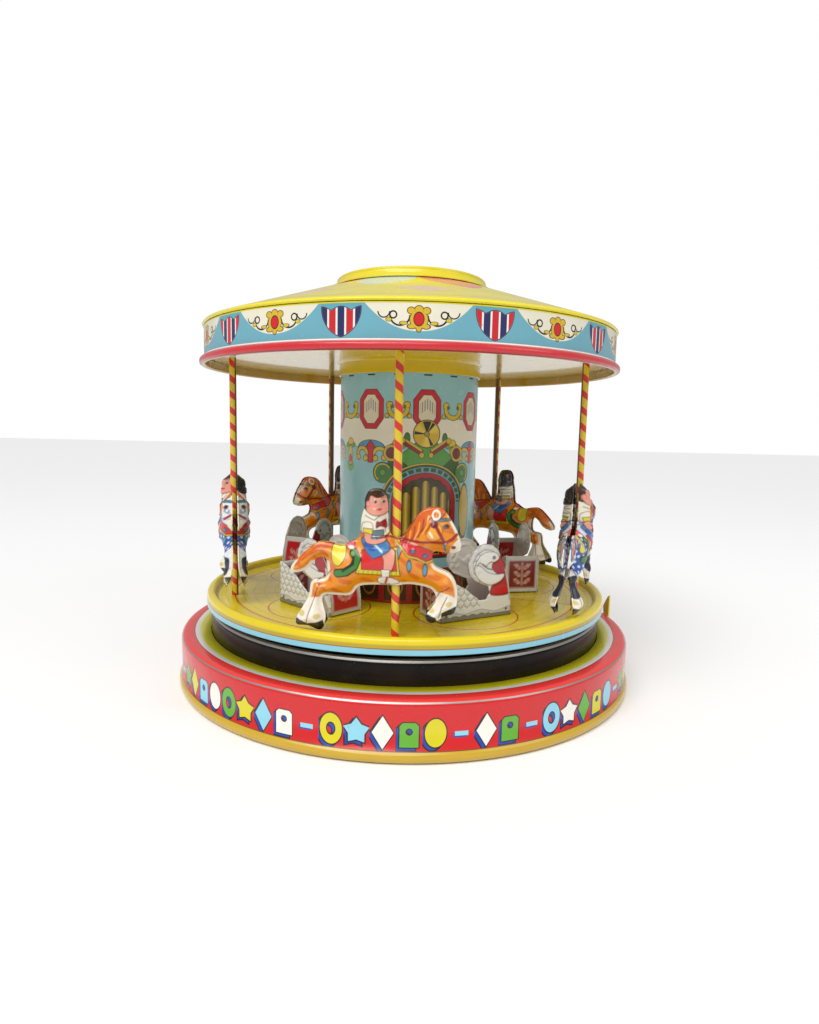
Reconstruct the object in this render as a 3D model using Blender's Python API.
"""Wind-up tin merry-go-round, built as separate pressed and turned pieces.

A still, stepped drum holds a clockwork motor. A spindle carries the platform, and the
platform carries the column, the canopy, five poles with riders on horses, and five swan seats.
All dimensions below are in millimetres, and the meshes are made in metres.
The origin is under the centre of the drum, on the surface it stands on. -Y is the front.
"""
import math

import bmesh
import bpy
from mathutils import Matrix, Vector
from mathutils.geometry import delaunay_2d_cdt, intersect_line_line_2d, tessellate_polygon

MM = 0.001
GAP = 0.3                    # clearance between pieces that touch on the real toy
TIN = 0.7                    # sheet thickness
TURNED_STEPS = 40            # facets round the large pressed parts
SMALL_STEPS = 12             # facets round shafts and poles

# Drum
BEAD_R = 140.0
SKIRT_R = 138.4
SHOULDER_R = 3.0             # rounding between the skirt and its flat top
SKIRT_TOP = 29.6
PLINTH_R = 121.3
PLINTH_TOP = 43.0
BOTTOM_PLATE_Z = 2.6

# Turning part
PLATFORM_R = 123.7
PLATFORM_BOTTOM = 45.4
FLOOR_Z = 49.1
RIM_TOP = 53.7
RIM_INNER_R = 118.2
COLUMN_R = 42.9
CEILING_Z = 191.0
COLLAR_FOOT = 182.8           # foot of the ceiling's collar round the column
FASCIA_R = 123.2
FASCIA_TOP = 206.8
CANOPY_BEAD_R = 126.0
CANOPY_BEAD_Z = 185.4
ROOF_SLOPE = 1.0 / 3.0
ROOF_EDGE = (121.0, 209.8)
CAP_R = 45.6
CAP_TOP = 240.6

# Riders and seats
STATIONS = 5
FIRST_STATION = -90.0
STATION_STEP = 360.0 / STATIONS
POLE_CIRCLE = 107.4
POLE_R = 2.0
SEAT_ANGLE = 31.0            # how far a seat's middle is past the pole behind it
SEAT_OUTER = 82.0            # axis to a seat's outer side
SEAT_WIDTH = 22.0
SEAT_LENGTH = 46.0
SWAN_NECK_R = 11.0

# Clockwork
MODULE = 1.0
LOWER_PLATE_Z = 14.0
UPPER_PLATE_Z = 36.0
PLATE_THICK = 1.2
SPINDLE_R = 2.5
ARBOR_R = 1.5
GREAT_ARBOR_R = 3.0
KEY_HOLE_R = 26.0
GREAT_TEETH, SPINDLE_TEETH = 48, 12
SECOND_PINION_TEETH, SECOND_TEETH = 10, 40
THIRD_PINION_TEETH, THIRD_TEETH = 8, 36
GOVERNOR_TEETH = 8
RATCHET_TEETH = 16
FAN_R = 12.0
MOTOR_BOX = (-60.0, -28.0, 22.0, 56.0)
PILLAR_INSET = 6.0

# Start and stop lever
LEVER_ANGLE = 12.5           # where the lever's tab stands round the drum
LEVER_PIVOT_R = 100.0
LEVER_TAB_R = 141.4
LEVER_Z = 20.0
LEVER_THICK = 1.0
LEVER_SWING = 14.0           # from running back to stopped
SLOT_SPAN = (-14.0, 4.0)     # ends of the slot in the skirt, along the lever's travel
TAB_TOP = 41.0

SPINDLE = Vector((0.0, 0.0))


def polar(radius, degrees, centre=(0.0, 0.0)):
    """Point at a radius and an angle from a centre."""
    turn = math.radians(degrees)
    return Vector((centre[0] + radius * math.cos(turn), centre[1] + radius * math.sin(turn)))


def arc(centre, radius, start, end, steps):
    """Points along an arc, both ends included."""
    return [polar(radius, start + (end - start) * i / steps, centre) for i in range(steps + 1)]


def circle(centre, radius, steps=SMALL_STEPS):
    """Points round a full circle."""
    return [polar(radius, 360.0 * i / steps, centre) for i in range(steps)]


GREAT_AXIS = polar(MODULE * (GREAT_TEETH + SPINDLE_TEETH) / 2, 180.0)
SECOND_BEARING, THIRD_BEARING, GOVERNOR_BEARING = 100.0, 20.0, -10.0
SECOND_AXIS = polar(MODULE * (GREAT_TEETH + SECOND_PINION_TEETH) / 2, SECOND_BEARING, GREAT_AXIS)
THIRD_AXIS = polar(MODULE * (SECOND_TEETH + THIRD_PINION_TEETH) / 2, THIRD_BEARING, SECOND_AXIS)
GOVERNOR_AXIS = polar(MODULE * (THIRD_TEETH + GOVERNOR_TEETH) / 2, GOVERNOR_BEARING, THIRD_AXIS)
LEVER_PIVOT = polar(LEVER_PIVOT_R, LEVER_ANGLE)


def clear_scene():
    """Remove every object, so the script can run again in the same file."""
    for obj in list(bpy.data.objects):
        bpy.data.objects.remove(obj, do_unlink=True)


MATERIALS = {
    "red_litho": ((0.62, 0.02, 0.02), 0.25, 0.0),
    "black_litho": ((0.012, 0.010, 0.008), 0.2, 0.0),
    "yellow_litho": ((0.66, 0.50, 0.02), 0.28, 0.0),
    "blue_litho": ((0.16, 0.48, 0.62), 0.3, 0.0),
    "cream_litho": ((0.70, 0.66, 0.52), 0.35, 0.0),
    "horse_litho": ((0.72, 0.27, 0.02), 0.3, 0.0),
    "grey_horse_litho": ((0.45, 0.52, 0.60), 0.3, 0.0),
    "swan_litho": ((0.55, 0.55, 0.50), 0.3, 0.0),
    "pole_litho": ((0.55, 0.36, 0.03), 0.3, 0.0),
    "tinplate": ((0.55, 0.55, 0.55), 0.35, 1.0),
    "steel": ((0.42, 0.42, 0.43), 0.3, 1.0),
    "spring_steel": ((0.16, 0.18, 0.24), 0.35, 1.0),
    "brass": ((0.72, 0.50, 0.18), 0.3, 1.0),
}


def material(name):
    """One Principled material of the table above, made once."""
    found = bpy.data.materials.get(name)
    if found:
        return found
    colour, roughness, metallic = MATERIALS[name]
    made = bpy.data.materials.new(name)
    made.use_nodes = True
    shader = made.node_tree.nodes["Principled BSDF"]
    shader.inputs["Base Color"].default_value = (*colour, 1.0)
    shader.inputs["Roughness"].default_value = roughness
    shader.inputs["Metallic"].default_value = metallic
    return made


def add_object(name, points, faces, finish):
    """Make a closed mesh object from points in millimetres, faces outwards, shaded smooth."""
    mesh = bpy.data.meshes.new(name)
    mesh.from_pydata([Vector(p) * MM for p in points], [], faces)
    shape = bmesh.new()
    shape.from_mesh(mesh)
    bmesh.ops.recalc_face_normals(shape, faces=shape.faces)
    shape.to_mesh(mesh)
    shape.free()
    mesh.materials.append(material(finish))
    mesh.shade_smooth()
    mesh.set_sharp_from_angle(angle=math.radians(35.0))
    obj = bpy.data.objects.new(name, mesh)
    bpy.context.scene.collection.objects.link(obj)
    return obj


def turned(name, profile, finish, centre=SPINDLE, steps=TURNED_STEPS):
    """Turn a closed (radius, height) outline about a vertical axis through centre.

    Points at radius 0 become one vertex on the axis.
    """
    points = []
    rings = []
    for radius, height in profile:
        first = len(points)
        if radius < 1e-6:
            points.append((centre[0], centre[1], height))
            rings.append([first] * steps)
            continue
        points += [(*polar(radius, 360.0 * i / steps, centre), height) for i in range(steps)]
        rings.append(list(range(first, first + steps)))
    faces = []
    for here, there in zip(rings, rings[1:] + rings[:1]):
        if here[0] == here[1] and there[0] == there[1]:
            continue
        for i in range(steps):
            j = (i + 1) % steps
            corners = [here[i], here[j], there[j], there[i]]
            faces.append([c for n, c in enumerate(corners) if c not in corners[:n]])
    return add_object(name, points, faces, finish)


def plate(name, outlines, low, high, finish, place=lambda x, y, z: (x, y, z)):
    """Flat plate between two heights. The first outline is the edge, the others are holes.

    place moves each point, for a plate that doesn't lie flat.
    """
    flat = [Vector((*p, 0.0)) for outline in outlines for p in outline]
    count = len(flat)
    triangles = tessellate_polygon([[Vector((*p, 0.0)) for p in outline] for outline in outlines])
    points = [place(p.x, p.y, z) for z in (high, low) for p in flat]
    faces = [tuple(t) for t in triangles]
    faces += [tuple(i + count for i in reversed(t)) for t in triangles]
    first = 0
    for outline in outlines:
        size = len(outline)
        for i in range(size):
            a, b = first + i, first + (i + 1) % size
            faces.append((a, b, b + count, a + count))
        first += size
    return add_object(name, points, faces, finish)


def combine(obj, others, operation):
    """Join other shapes to an object, or cut them from it, and keep the plain result."""
    for other in others:
        step = obj.modifiers.new(operation.lower(), "BOOLEAN")
        step.operation = operation
        step.solver = "EXACT"
        step.object = other
    bpy.context.view_layer.update()
    evaluated = obj.evaluated_get(bpy.context.evaluated_depsgraph_get())
    result = bpy.data.meshes.new_from_object(evaluated)
    obj.modifiers.clear()
    obj.data = result
    for other in others:
        bpy.data.objects.remove(other, do_unlink=True)
    return obj


def copies(source, name, matrices):
    """Place copies that share one mesh, and drop the source."""
    made = []
    for number, matrix in enumerate(matrices, 1):
        obj = bpy.data.objects.new(f"{name}_{number}", source.data)
        obj.matrix_world = matrix
        bpy.context.scene.collection.objects.link(obj)
        made.append(obj)
    bpy.data.objects.remove(source, do_unlink=True)
    return made


def station_matrix(angle, radius, height):
    """Frame at an angle round the axis: +X along the travel, +Y inwards, +Z up."""
    turn = Matrix.Rotation(math.radians(angle - FIRST_STATION), 4, "Z")
    return turn @ Matrix.Translation(Vector((0.0, -radius, height)) * MM)


# --- Drum -----------------------------------------------------------------------------------

def make_drum():
    """Skirt with rolled foot, plinth, bottom plate and the lever's slot."""
    corner = (SKIRT_R - SHOULDER_R, SKIRT_TOP - SHOULDER_R)
    edge_inner = PLINTH_R + GAP
    skirt = turned("base_skirt", [
        (edge_inner, SKIRT_TOP),
        *[tuple(p) for p in arc(corner, SHOULDER_R, 90.0, 0.0, 3)],
        (SKIRT_R, 5.2), (BEAD_R - 0.4, 4.4), (BEAD_R, 2.8), (BEAD_R - 0.4, 1.0),
        (BEAD_R - 1.4, 0.0), (BEAD_R - 3.4, 0.0), (BEAD_R - 3.4, 4.0),
        (SKIRT_R - TIN, 5.2), (SKIRT_R - TIN, corner[1]), (corner[0], SKIRT_TOP - TIN),
        (edge_inner, SKIRT_TOP - TIN),
    ], "red_litho")
    near, far = SKIRT_R - 4.0, SKIRT_R + 4.0
    ends = [(near, SLOT_SPAN[0]), (far, SLOT_SPAN[0]), (far, SLOT_SPAN[1]), (near, SLOT_SPAN[1])]
    turn = Matrix.Rotation(math.radians(LEVER_ANGLE), 2)
    slot = plate("slot_cutter", [[turn @ Vector(p) for p in ends]],
                 LEVER_Z - 0.5, LEVER_Z + LEVER_THICK + 0.5, "tinplate")
    combine(skirt, [slot], "DIFFERENCE")

    flange_top = SKIRT_TOP - TIN - GAP
    turned("base_plinth", [
        (6.4, PLINTH_TOP), (PLINTH_R - 3.0, PLINTH_TOP), (PLINTH_R - 0.9, PLINTH_TOP - 0.9),
        (PLINTH_R, PLINTH_TOP - 3.0), (PLINTH_R, flange_top), (PLINTH_R + 3.0, flange_top),
        (PLINTH_R + 3.0, flange_top - TIN), (PLINTH_R - TIN, flange_top - TIN),
        (PLINTH_R - TIN, PLINTH_TOP - 3.3), (PLINTH_R - 3.3, PLINTH_TOP - TIN),
        (6.4, PLINTH_TOP - TIN),
    ], "black_litho")
    plate("bottom_plate", [
        circle(SPINDLE, BEAD_R - 3.4 - GAP, TURNED_STEPS), circle(GREAT_AXIS, KEY_HOLE_R, 24),
    ], BOTTOM_PLATE_Z, BOTTOM_PLATE_Z + TIN, "tinplate")
    turned("spindle_bush", [
        (SPINDLE_R + GAP, 45.0), (6.1, 45.0), (6.1, 42.0), (10.0, 42.0), (10.0, 41.0),
        (SPINDLE_R + GAP, 41.0),
    ], "brass", steps=16)


# --- Clockwork ------------------------------------------------------------------------------

def gear_outline(teeth, centre, phase):
    """Straight-sided teeth, thick at the root and narrow at the tip, with free running play."""
    pitch_angle = 360.0 / teeth
    pitch_r = MODULE * teeth / 2
    root_r, tip_r = pitch_r - 1.2 * MODULE, pitch_r + 0.8 * MODULE
    outline = []
    for tooth in range(teeth):
        middle = phase + tooth * pitch_angle
        for radius, share in ((root_r, -0.25), (tip_r, -0.09), (tip_r, 0.09), (root_r, 0.25)):
            spread = pitch_angle * share * pitch_r / radius
            outline.append(polar(radius, middle + spread, centre))
    return outline


def meshing_phase(driver_phase, driver_teeth, bearing, teeth):
    """Angle of a driven gear's tooth, so that its gap takes the driver's tooth on their line."""
    share = ((bearing - driver_phase) / (360.0 / driver_teeth)) % 1.0
    return bearing + 180.0 + (share + 0.5) * 360.0 / teeth


def shaft_with_pinion(name, axis, teeth, phase, levels, finish="steel"):
    """Thin arbor with a pinion cut on it. levels are shaft foot, pinion foot, pinion top, shaft top."""
    foot, low, high, top = levels
    shaft = turned(name, [(0.0, top), (ARBOR_R, top), (ARBOR_R, foot), (0.0, foot)], finish, axis, 10)
    pinion = plate("pinion", [gear_outline(teeth, axis, phase)], low, high, finish)
    return combine(shaft, [pinion], "UNION")


def make_motor_frame():
    """Two plates with the arbors' holes, and four shouldered pillars."""
    left, front, right, back = MOTOR_BOX
    corners = [(left, front), (right, front), (right, back), (left, back)]
    pillars = [Vector((left + PILLAR_INSET, front + PILLAR_INSET)),
               Vector((right - PILLAR_INSET, front + PILLAR_INSET)),
               Vector((right - PILLAR_INSET, back - PILLAR_INSET)),
               Vector((left + PILLAR_INSET, back - PILLAR_INSET))]
    neck = 2.0
    holes = [circle(p, neck + GAP, 8) for p in pillars]
    holes += [circle(axis, ARBOR_R + GAP, 8) for axis in (SECOND_AXIS, THIRD_AXIS, GOVERNOR_AXIS)]
    holes += [circle(SPINDLE, SPINDLE_R + GAP, 10), circle(GREAT_AXIS, GREAT_ARBOR_R + GAP, 10)]
    for name, low in (("motor_lower_plate", LOWER_PLATE_Z), ("motor_upper_plate", UPPER_PLATE_Z)):
        plate(name, [corners] + holes, low, low + PLATE_THICK, "brass")
    foot = BOTTOM_PLATE_Z + TIN + GAP
    for number, place in enumerate(pillars, 1):
        turned(f"motor_pillar_{number}", [
            (0.0, UPPER_PLATE_Z + PLATE_THICK + 0.8), (neck, UPPER_PLATE_Z + PLATE_THICK + 0.8),
            (neck, UPPER_PLATE_Z - GAP), (3.2, UPPER_PLATE_Z - GAP),
            (3.2, LOWER_PLATE_Z + PLATE_THICK + GAP), (neck, LOWER_PLATE_Z + PLATE_THICK + GAP),
            (neck, LOWER_PLATE_Z - GAP), (3.2, LOWER_PLATE_Z - GAP), (3.2, foot), (0.0, foot),
        ], "steel", place, 8)


def make_spring_and_winding():
    """Key, winding arbor, ratchet wheel, mainspring, great wheel and click."""
    turned("winding_arbor", [
        (0.0, 38.0), (GREAT_ARBOR_R, 38.0), (GREAT_ARBOR_R, 5.0), (0.0, 5.0),
    ], "steel", GREAT_AXIS)
    hub_r = 5.0
    key = turned("winding_key", [
        (GREAT_ARBOR_R + GAP, 12.8), (hub_r, 12.8), (hub_r, 2.2), (GREAT_ARBOR_R + GAP, 2.2),
    ], "steel", GREAT_AXIS, 16)
    wings = []
    for side in (-1.0, 1.0):
        lobe = [(side * 4.0, 4.0), (side * 4.0, 10.5)]
        lobe += [(side * p.x, p.y) for p in arc((14.0, 7.3), 4.9, 110.0, -110.0, 7)]
        wings.append(plate("wing", [lobe], -0.8, 0.8, "steel",
                           lambda x, y, z: (GREAT_AXIS.x + x, GREAT_AXIS.y + z, y)))
    combine(key, wings, "UNION")

    ratchet = []
    for tooth in range(RATCHET_TEETH):
        step = 360.0 / RATCHET_TEETH
        ratchet += [polar(8.0, tooth * step, GREAT_AXIS), polar(10.0, (tooth + 0.92) * step, GREAT_AXIS)]
    plate("ratchet_wheel", [ratchet, circle(GREAT_AXIS, GREAT_ARBOR_R + GAP)], 24.6, 25.8, "steel")

    coils, coil_steps, strip = 4, 14, 0.5
    inner_r, outer_r = GREAT_ARBOR_R + 1.5, 19.0
    spiral = [(inner_r + (outer_r - inner_r) * i / (coils * coil_steps), 360.0 * i / coil_steps)
              for i in range(coils * coil_steps + 1)]
    outer = [polar(r + strip, a, GREAT_AXIS) for r, a in spiral]
    inner = [polar(r, a, GREAT_AXIS) for r, a in reversed(spiral)]
    plate("mainspring", [outer + inner], 16.0, 24.0, "spring_steel")

    wheel = plate("great_wheel", [
        gear_outline(GREAT_TEETH, GREAT_AXIS, 0.0), circle(GREAT_AXIS, GREAT_ARBOR_R + GAP),
    ], 27.0, 28.6, "brass")
    pin_place = polar(16.5, 60.0, GREAT_AXIS)
    pin = turned("pin", [(0.0, 27.8), (1.0, 27.8), (1.0, 24.2), (0.0, 24.2)], "brass", pin_place, 10)
    combine(wheel, [pin], "UNION")
    tip = polar(11.4, 18.0, GREAT_AXIS)
    along = (tip - pin_place).normalized()
    across = Vector((-along.y, along.x))
    click = [pin_place - along * 2.6 + across * 1.6, pin_place - along * 2.6 - across * 1.6,
             pin_place + along * 1.5 - across * 2.4, tip - across * 0.9, tip + across * 0.2,
             pin_place + along * 1.5 + across * 2.4]
    plate("ratchet_click", [click, circle(pin_place, 1.0 + GAP, 8)], 24.6, 25.8, "steel")


def make_train():
    """Spindle with its pinion, two step-up wheels and the governor."""
    spindle_phase = meshing_phase(0.0, GREAT_TEETH, 0.0, SPINDLE_TEETH)
    plate("spindle_pinion", [
        gear_outline(SPINDLE_TEETH, SPINDLE, spindle_phase), circle(SPINDLE, SPINDLE_R + GAP, 10),
    ], 26.2, 30.0, "steel")
    turned("drive_spindle", [
        (0.0, 55.0), (SPINDLE_R, 55.0), (SPINDLE_R, 48.1), (8.0, 48.1), (8.0, 45.3),
        (SPINDLE_R, 45.3), (SPINDLE_R, 12.8), (0.0, 12.8),
    ], "steel", steps=SMALL_STEPS)
    turned("platform_nut", [
        (SPINDLE_R + GAP, 53.0), (5.5, 53.0), (5.5, FLOOR_Z + GAP), (SPINDLE_R + GAP, FLOOR_Z + GAP),
    ], "steel", steps=6 * 2)

    foot, top = LOWER_PLATE_Z - 0.6, UPPER_PLATE_Z + PLATE_THICK + 0.6
    second_phase = meshing_phase(0.0, GREAT_TEETH, SECOND_BEARING, SECOND_PINION_TEETH)
    shaft_with_pinion("second_arbor", SECOND_AXIS, SECOND_PINION_TEETH, second_phase, (foot, 26.4, 30.0, top))
    plate("second_wheel", [
        gear_outline(SECOND_TEETH, SECOND_AXIS, 0.0), circle(SECOND_AXIS, ARBOR_R + GAP, 8),
    ], 31.0, 32.2, "brass")
    third_phase = meshing_phase(0.0, SECOND_TEETH, THIRD_BEARING, THIRD_PINION_TEETH)
    shaft_with_pinion("third_arbor", THIRD_AXIS, THIRD_PINION_TEETH, third_phase, (foot, 30.4, 32.8, top))
    plate("third_wheel", [
        gear_outline(THIRD_TEETH, THIRD_AXIS, 0.0), circle(THIRD_AXIS, ARBOR_R + GAP, 8),
    ], 33.4, 34.4, "brass")
    governor_phase = meshing_phase(0.0, THIRD_TEETH, GOVERNOR_BEARING, GOVERNOR_TEETH)
    shaft_with_pinion("governor_arbor", GOVERNOR_AXIS, GOVERNOR_TEETH, governor_phase, (foot, 32.6, 35.4, top))
    fan = turned("governor_fan", [
        (ARBOR_R + GAP, 28.0), (3.0, 28.0), (3.0, 16.0), (ARBOR_R + GAP, 16.0),
    ], "brass", GOVERNOR_AXIS)
    blades = []
    for side in (-1.0, 1.0):
        blade = [(side * 2.6, 17.0), (side * FAN_R, 17.0), (side * FAN_R, 27.0), (side * 2.6, 27.0)]
        blades.append(plate("blade", [blade], -0.4, 0.4, "brass",
                            lambda x, y, z: (GOVERNOR_AXIS.x + x, GOVERNOR_AXIS.y + z, y)))
    combine(fan, blades, "UNION")


def make_lever():
    """Flat lever on a post. Its outer end leaves the skirt and turns up, its inner end stops the fan."""
    outward = Vector(polar(1.0, LEVER_ANGLE))
    side = Vector((-outward.y, outward.x))
    stop_point = polar(FAN_R + 3.0, -60.0, GOVERNOR_AXIS)
    rest_point = LEVER_PIVOT + Matrix.Rotation(math.radians(LEVER_SWING), 2) @ (stop_point - LEVER_PIVOT)
    inward = (rest_point - LEVER_PIVOT).normalized()
    across = Vector((-inward.y, inward.x))
    tab_point = polar(LEVER_TAB_R + 0.8, LEVER_ANGLE)
    outline = [tab_point - side * 2.2, tab_point + side * 2.2, LEVER_PIVOT + side * 3.4,
               rest_point - across * 1.4, rest_point - across * 0.2 + inward * 1.2,
               rest_point + across * 1.4, LEVER_PIVOT - side * 3.4]
    lever = plate("brake_lever", [outline, circle(LEVER_PIVOT, 1.2 + GAP, 8)],
                  LEVER_Z, LEVER_Z + LEVER_THICK, "yellow_litho")
    tab = [(-2.2, LEVER_Z), (2.2, LEVER_Z), (3.6, LEVER_Z + 8.0), (3.6, TAB_TOP),
           (1.6, TAB_TOP - 1.2), (-4.4, LEVER_Z + 12.0)]

    def stand(x, y, z):
        place = outward * (LEVER_TAB_R + z) - side * x
        return (place.x, place.y, y)

    combine(lever, [plate("tab", [tab], 0.0, 0.9, "yellow_litho", stand)], "UNION")
    foot = BOTTOM_PLATE_Z + TIN + GAP
    turned("lever_post", [
        (0.0, LEVER_Z + 2.4), (1.2, LEVER_Z + 2.4), (1.2, LEVER_Z - GAP), (3.0, LEVER_Z - GAP),
        (3.0, foot), (0.0, foot),
    ], "steel", LEVER_PIVOT, 10)


# --- Turning part ---------------------------------------------------------------------------

def make_platform_and_column():
    """Shallow tray with a raised rolled rim, and the column that holds the canopy."""
    turned("platform", [
        (SPINDLE_R + GAP, FLOOR_Z), (RIM_INNER_R - 0.6, FLOOR_Z), (RIM_INNER_R + 0.4, 50.4),
        (RIM_INNER_R + 0.6, 52.4), (RIM_INNER_R + 1.8, RIM_TOP - 0.1), (PLATFORM_R - 1.9, RIM_TOP),
        (PLATFORM_R - 0.5, 52.7), (PLATFORM_R, 51.0), (PLATFORM_R, PLATFORM_BOTTOM),
        (PLATFORM_R - TIN, PLATFORM_BOTTOM), (PLATFORM_R - TIN, 50.9),
        (PLATFORM_R - 1.2, 52.3), (PLATFORM_R - 2.2, RIM_TOP - TIN), (RIM_INNER_R + 2.2, RIM_TOP - TIN),
        (RIM_INNER_R + 1.3, 51.8), (RIM_INNER_R + 1.1, 50.0), (RIM_INNER_R - 0.2, FLOOR_Z - TIN),
        (SPINDLE_R + GAP, FLOOR_Z - TIN),
    ], "yellow_litho")
    low, high = FLOOR_Z + GAP, CEILING_Z - GAP
    turned("column", [
        (COLUMN_R - TIN, high), (COLUMN_R, high), (COLUMN_R, low), (COLUMN_R - TIN, low),
    ], "blue_litho")


def make_canopy():
    """Ceiling with a collar round the column, fascia ring with its bead, sloping roof and raised cap."""
    collar_inner = COLUMN_R + GAP
    collar_outer = collar_inner + TIN
    turned("canopy_ceiling", [
        (36.0, CEILING_Z + TIN), (FASCIA_R - 1.2, CEILING_Z + TIN), (FASCIA_R - 1.2, CEILING_Z),
        (collar_outer + 1.0, CEILING_Z), (collar_outer, CEILING_Z - 1.0), (collar_outer, COLLAR_FOOT),
        (collar_inner, COLLAR_FOOT), (collar_inner, CEILING_Z), (36.0, CEILING_Z),
    ], "yellow_litho")
    bead_high = CANOPY_BEAD_Z + 3.8
    turned("canopy_fascia", [
        (FASCIA_R - TIN, FASCIA_TOP), (FASCIA_R, FASCIA_TOP), (FASCIA_R, bead_high + 0.9),
        (CANOPY_BEAD_R - 1.0, bead_high), (CANOPY_BEAD_R, bead_high - 1.5),
        (CANOPY_BEAD_R, CANOPY_BEAD_Z + 1.0), (CANOPY_BEAD_R - 1.0, CANOPY_BEAD_Z),
        (FASCIA_R - 0.2, CANOPY_BEAD_Z), (FASCIA_R - TIN, CANOPY_BEAD_Z + 1.0),
    ], "blue_litho")
    edge_r, edge_z = ROOF_EDGE
    hole_r = 40.0
    hole_z = edge_z + (edge_r - hole_r) * ROOF_SLOPE
    under = FASCIA_TOP + GAP
    turned("canopy_roof", [
        (hole_r, hole_z), (edge_r, edge_z), (edge_r + 2.3, edge_z - 0.8), (edge_r + 3.2, edge_z - 1.8),
        (edge_r + 2.6, under), (edge_r + 0.8, under), (edge_r, edge_z - TIN - 0.2),
        (hole_r, hole_z - TIN),
    ], "yellow_litho")
    foot_r = CAP_R + 3.8
    foot_z = edge_z + (edge_r - foot_r) * ROOF_SLOPE + GAP
    turned("roof_cap", [
        (0.0, CAP_TOP - 0.8), (CAP_R - 3.0, CAP_TOP - 1.6), (CAP_R - 2.2, CAP_TOP - 0.4),
        (CAP_R - 1.0, CAP_TOP), (CAP_R, CAP_TOP - 0.8), (CAP_R, CAP_TOP - 2.0),
        (CAP_R + 1.2, CAP_TOP - 4.2), (foot_r, foot_z + 0.9), (foot_r, foot_z),
        (foot_r - 3.0, foot_z + 1.1), (CAP_R - 0.7, CAP_TOP - 2.8), (CAP_R - 1.4, CAP_TOP - 2.4),
        (0.0, CAP_TOP - 1.5),
    ], "yellow_litho")


def make_poles():
    """One straight pole for each horse, from the platform to the ceiling."""
    pole = turned("pole", [
        (0.0, CEILING_Z - GAP - FLOOR_Z), (POLE_R, CEILING_Z - GAP - FLOOR_Z), (POLE_R, GAP), (0.0, GAP),
    ], "pole_litho")
    places = [station_matrix(FIRST_STATION + k * STATION_STEP, POLE_CIRCLE, FLOOR_Z) for k in range(STATIONS)]
    copies(pole, "pole", places)


# Side view of a galloping horse with its rider: (forward, up) from the pole's foot.
HORSE_OUTLINE = [
    (31.2, 47.1), (29.0, 54.0), (25.4, 60.0), (22.0, 64.2), (17.0, 65.0), (11.9, 63.0), (6.6, 56.0),
    (2.9, 51.0), (-0.6, 50.6), (-3.6, 54.0), (-4.0, 60.0), (-4.3, 67.0), (-6.2, 72.2), (-9.8, 73.4),
    (-13.6, 72.2), (-15.4, 68.0), (-15.4, 65.0), (-16.9, 59.0), (-17.8, 50.0), (-21.0, 48.0),
    (-26.0, 45.4), (-32.2, 46.6), (-38.3, 46.6), (-44.9, 41.6), (-50.8, 35.0), (-50.0, 31.6),
    (-43.5, 33.4), (-38.6, 38.6), (-34.6, 39.6), (-33.2, 35.4), (-34.0, 29.6), (-40.6, 27.8),
    (-42.2, 20.4), (-44.8, 15.4), (-47.4, 10.8), (-47.4, 6.8), (-42.2, 6.6), (-35.6, 4.6),
    (-33.4, 11.0), (-35.0, 20.6), (-22.4, 21.2), (-17.6, 25.8), (-9.8, 26.8), (0.0, 27.0),
    (9.0, 27.4), (17.6, 25.2), (19.6, 19.6), (15.0, 12.6), (18.0, 9.4), (24.0, 12.8), (28.9, 15.0),
    (30.0, 25.0), (26.6, 32.6), (18.6, 37.0), (18.2, 43.6), (24.4, 43.4), (29.6, 43.8),
]
RIDGE_HALF = 2.7             # half the width of the channel pressed over the pole
HORSE_DOME = 8.5
DOME_REACH = 5.0
LEG_SPREAD = 3.4
HORSE_GRID = 7.0


def edge_distance(point, outline):
    """Shortest distance from a point to a closed outline."""
    best = math.inf
    for a, b in zip(outline, outline[1:] + outline[:1]):
        run = b - a
        share = max(0.0, min(1.0, (point - a).dot(run) / run.length_squared))
        best = min(best, (point - a - run * share).length)
    return best


def ridge_crossings(outline, x):
    """Heights where the line at x crosses the outline's lowest and highest edges."""
    found = []
    for a, b in zip(outline, outline[1:] + outline[:1]):
        hit = intersect_line_line_2d(a, b, Vector((x, -10.0)), Vector((x, 90.0)))
        if hit:
            found.append(hit.y)
    return min(found), max(found)


def inside(point, outline):
    """Even-odd test of a point in a closed outline."""
    odd = False
    for a, b in zip(outline, outline[1:] + outline[:1]):
        if (a.y > point.y) != (b.y > point.y):
            if point.x < a.x + (b.x - a.x) * (point.y - a.y) / (b.y - a.y):
                odd = not odd
    return odd


def horse_bulge(point, outline):
    """How far the pressed sheet stands off the horse's middle plane."""
    lift = LEG_SPREAD * max(0.0, min(1.0, (22.0 - point.y) / 12.0))
    dome = HORSE_DOME * (1.0 - math.exp(-edge_distance(point, outline) / DOME_REACH))
    bulge = GAP / 2 + TIN + lift + dome
    if abs(point.x) <= RIDGE_HALF + 0.01:
        bulge = max(bulge, POLE_R + GAP + TIN + 0.1)
    return bulge


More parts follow.
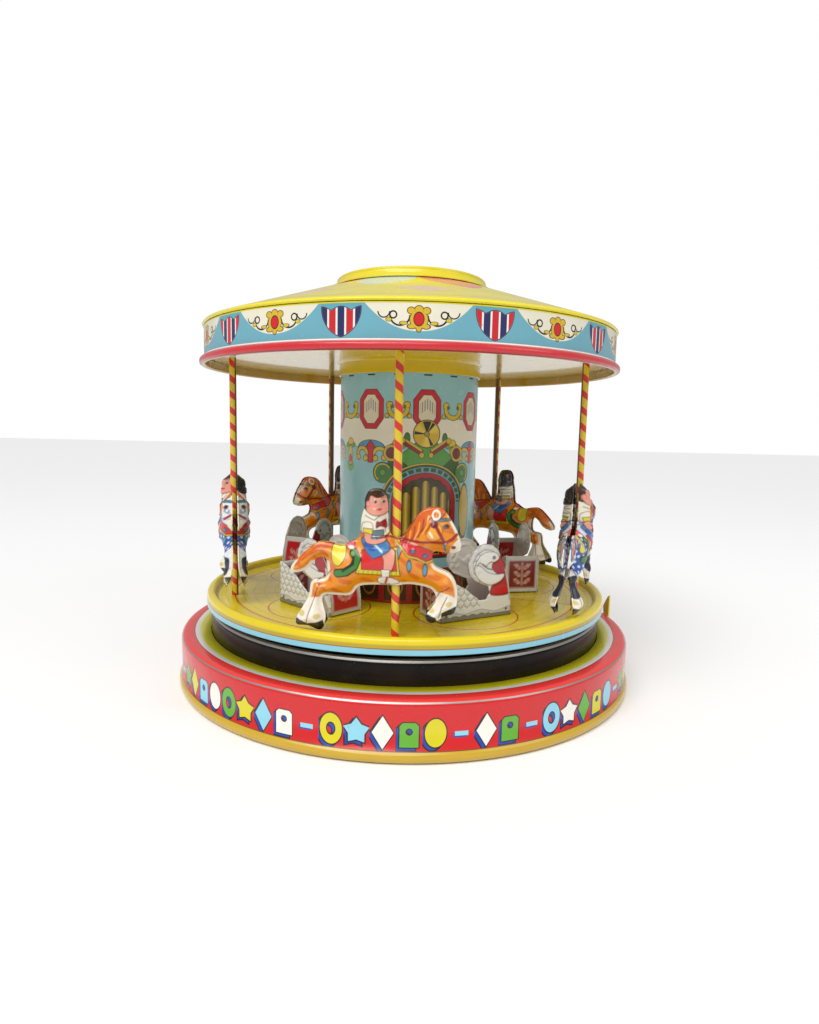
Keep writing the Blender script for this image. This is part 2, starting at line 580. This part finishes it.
def make_horse_half(side):
    """One pressed half of a horse and rider; side is -1 outside and +1 inside."""
    outline = [Vector(p) for p in HORSE_OUTLINE]
    points = list(outline)
    edges = [(i, (i + 1) % len(outline)) for i in range(len(outline))]
    for x in (-RIDGE_HALF, RIDGE_HALF):
        low, high = ridge_crossings(outline, x)
        column = [low] + [low + (high - low) * step / 4 for step in (1, 2, 3)] + [high]
        first = len(points)
        points += [Vector((x, z)) for z in column]
        edges += [(first + i, first + i + 1) for i in range(len(column) - 1)]
    low_x = int(min(p.x for p in outline) // HORSE_GRID)
    high_x = int(max(p.x for p in outline) // HORSE_GRID)
    for i in range(low_x, high_x + 1):
        for j in range(0, 11):
            place = Vector((i * HORSE_GRID + 3.0, j * HORSE_GRID + 3.0))
            if abs(place.x) < RIDGE_HALF + 2.0 or not inside(place, outline):
                continue
            if edge_distance(place, outline) > 2.4:
                points.append(place)
    flat, _, faces, *_ = delaunay_2d_cdt(points, edges, [], 1, 1e-4)
    count = len(flat)
    outer = [(p.x, side * horse_bulge(p, outline), p.y) for p in flat]
    inner = [(x, y - side * TIN, z) for x, y, z in outer]
    shell = [tuple(f) for f in faces] + [tuple(i + count for i in reversed(f)) for f in faces]
    used = {}
    for face in faces:
        for a, b in zip(face, face[1:] + face[:1]):
            key = (min(a, b), max(a, b))
            used[key] = None if key in used else (a, b)
    shell += [(b, a, a + count, b + count) for a, b in (e for e in used.values() if e)]
    return add_object("horse_half", outer + inner, shell, "horse_litho")


def make_horses():
    """Two pressed halves for each station. The second and fifth horses are greys."""
    places = [station_matrix(FIRST_STATION + k * STATION_STEP, POLE_CIRCLE, FLOOR_Z) for k in range(STATIONS)]
    for name, side in (("horse_outer", -1.0), ("horse_inner", 1.0)):
        for number, obj in enumerate(copies(make_horse_half(side), name, places)):
            if number in (1, 4):
                obj.material_slots[0].link = "OBJECT"
                obj.material_slots[0].material = material("grey_horse_litho")


def swan_side():
    """Outline of a swan seat's side: (forward, up), tail behind, curled neck in front."""
    half = SEAT_LENGTH / 2
    neck = (4.5, 30.0)
    front = [(-half, 0.0), (half, 0.0), (half - 0.4, 8.0), (half - 2.5, 19.0), (half - 5.5, 29.0)]
    curl = [tuple(p) for p in arc(neck, SWAN_NECK_R, 18.0, 258.0, 10)]
    back = [(7.0, 17.2), (8.4, 13.4), (6.0, 10.0), (2.0, 10.0), (-3.0, 13.4), (-8.0, 17.4),
            (-13.0, 20.0), (-18.0, 22.6), (-half, 24.0)]
    return front + curl + back


def make_seats():
    """Swan seats: two sides, a floor, a sloping front and an upright back, joined in one piece."""
    half, wide = SEAT_LENGTH / 2, SEAT_WIDTH / 2
    sheet = 0.8
    outline = swan_side()

    def upright(y_low):
        return lambda x, y, z: (x, y_low + z, y)

    seat = plate("seat", [outline], 0.0, sheet, "swan_litho", upright(-wide))
    bottom = [(-half + 0.1, 0.1), (half - 0.2, 0.1), (half - 0.3, 0.9), (-half + 0.1, 0.9)]
    front = [(half - 0.1 - 0.9, 0.3), (half - 0.1, 0.3), (half - 0.5, 8.0), (half - 2.6, 19.0),
             (half - 5.6, 28.8), (half - 6.5, 28.6), (half - 3.5, 19.0), (half - 1.4, 8.0)]
    back = [(-half + 0.1, 0.3), (-half + 0.9, 0.3), (-half + 0.9, 23.4), (-half + 0.1, 23.6)]
    parts = [plate("side", [outline], 0.0, sheet, "swan_litho", upright(wide - sheet))]
    for strip in (bottom, front, back):
        parts.append(plate("wall", [strip], 0.15, SEAT_WIDTH - 0.15, "swan_litho", upright(-wide)))
    combine(seat, parts, "UNION")
    middle = SEAT_OUTER - wide
    places = [station_matrix(FIRST_STATION + SEAT_ANGLE + k * STATION_STEP, middle, FLOOR_Z + GAP)
              for k in range(STATIONS)]
    copies(seat, "swan_seat", places)


clear_scene()
make_drum()
make_motor_frame()
make_spring_and_winding()
make_train()
make_lever()
make_platform_and_column()
make_canopy()
make_poles()
make_horses()
make_seats()
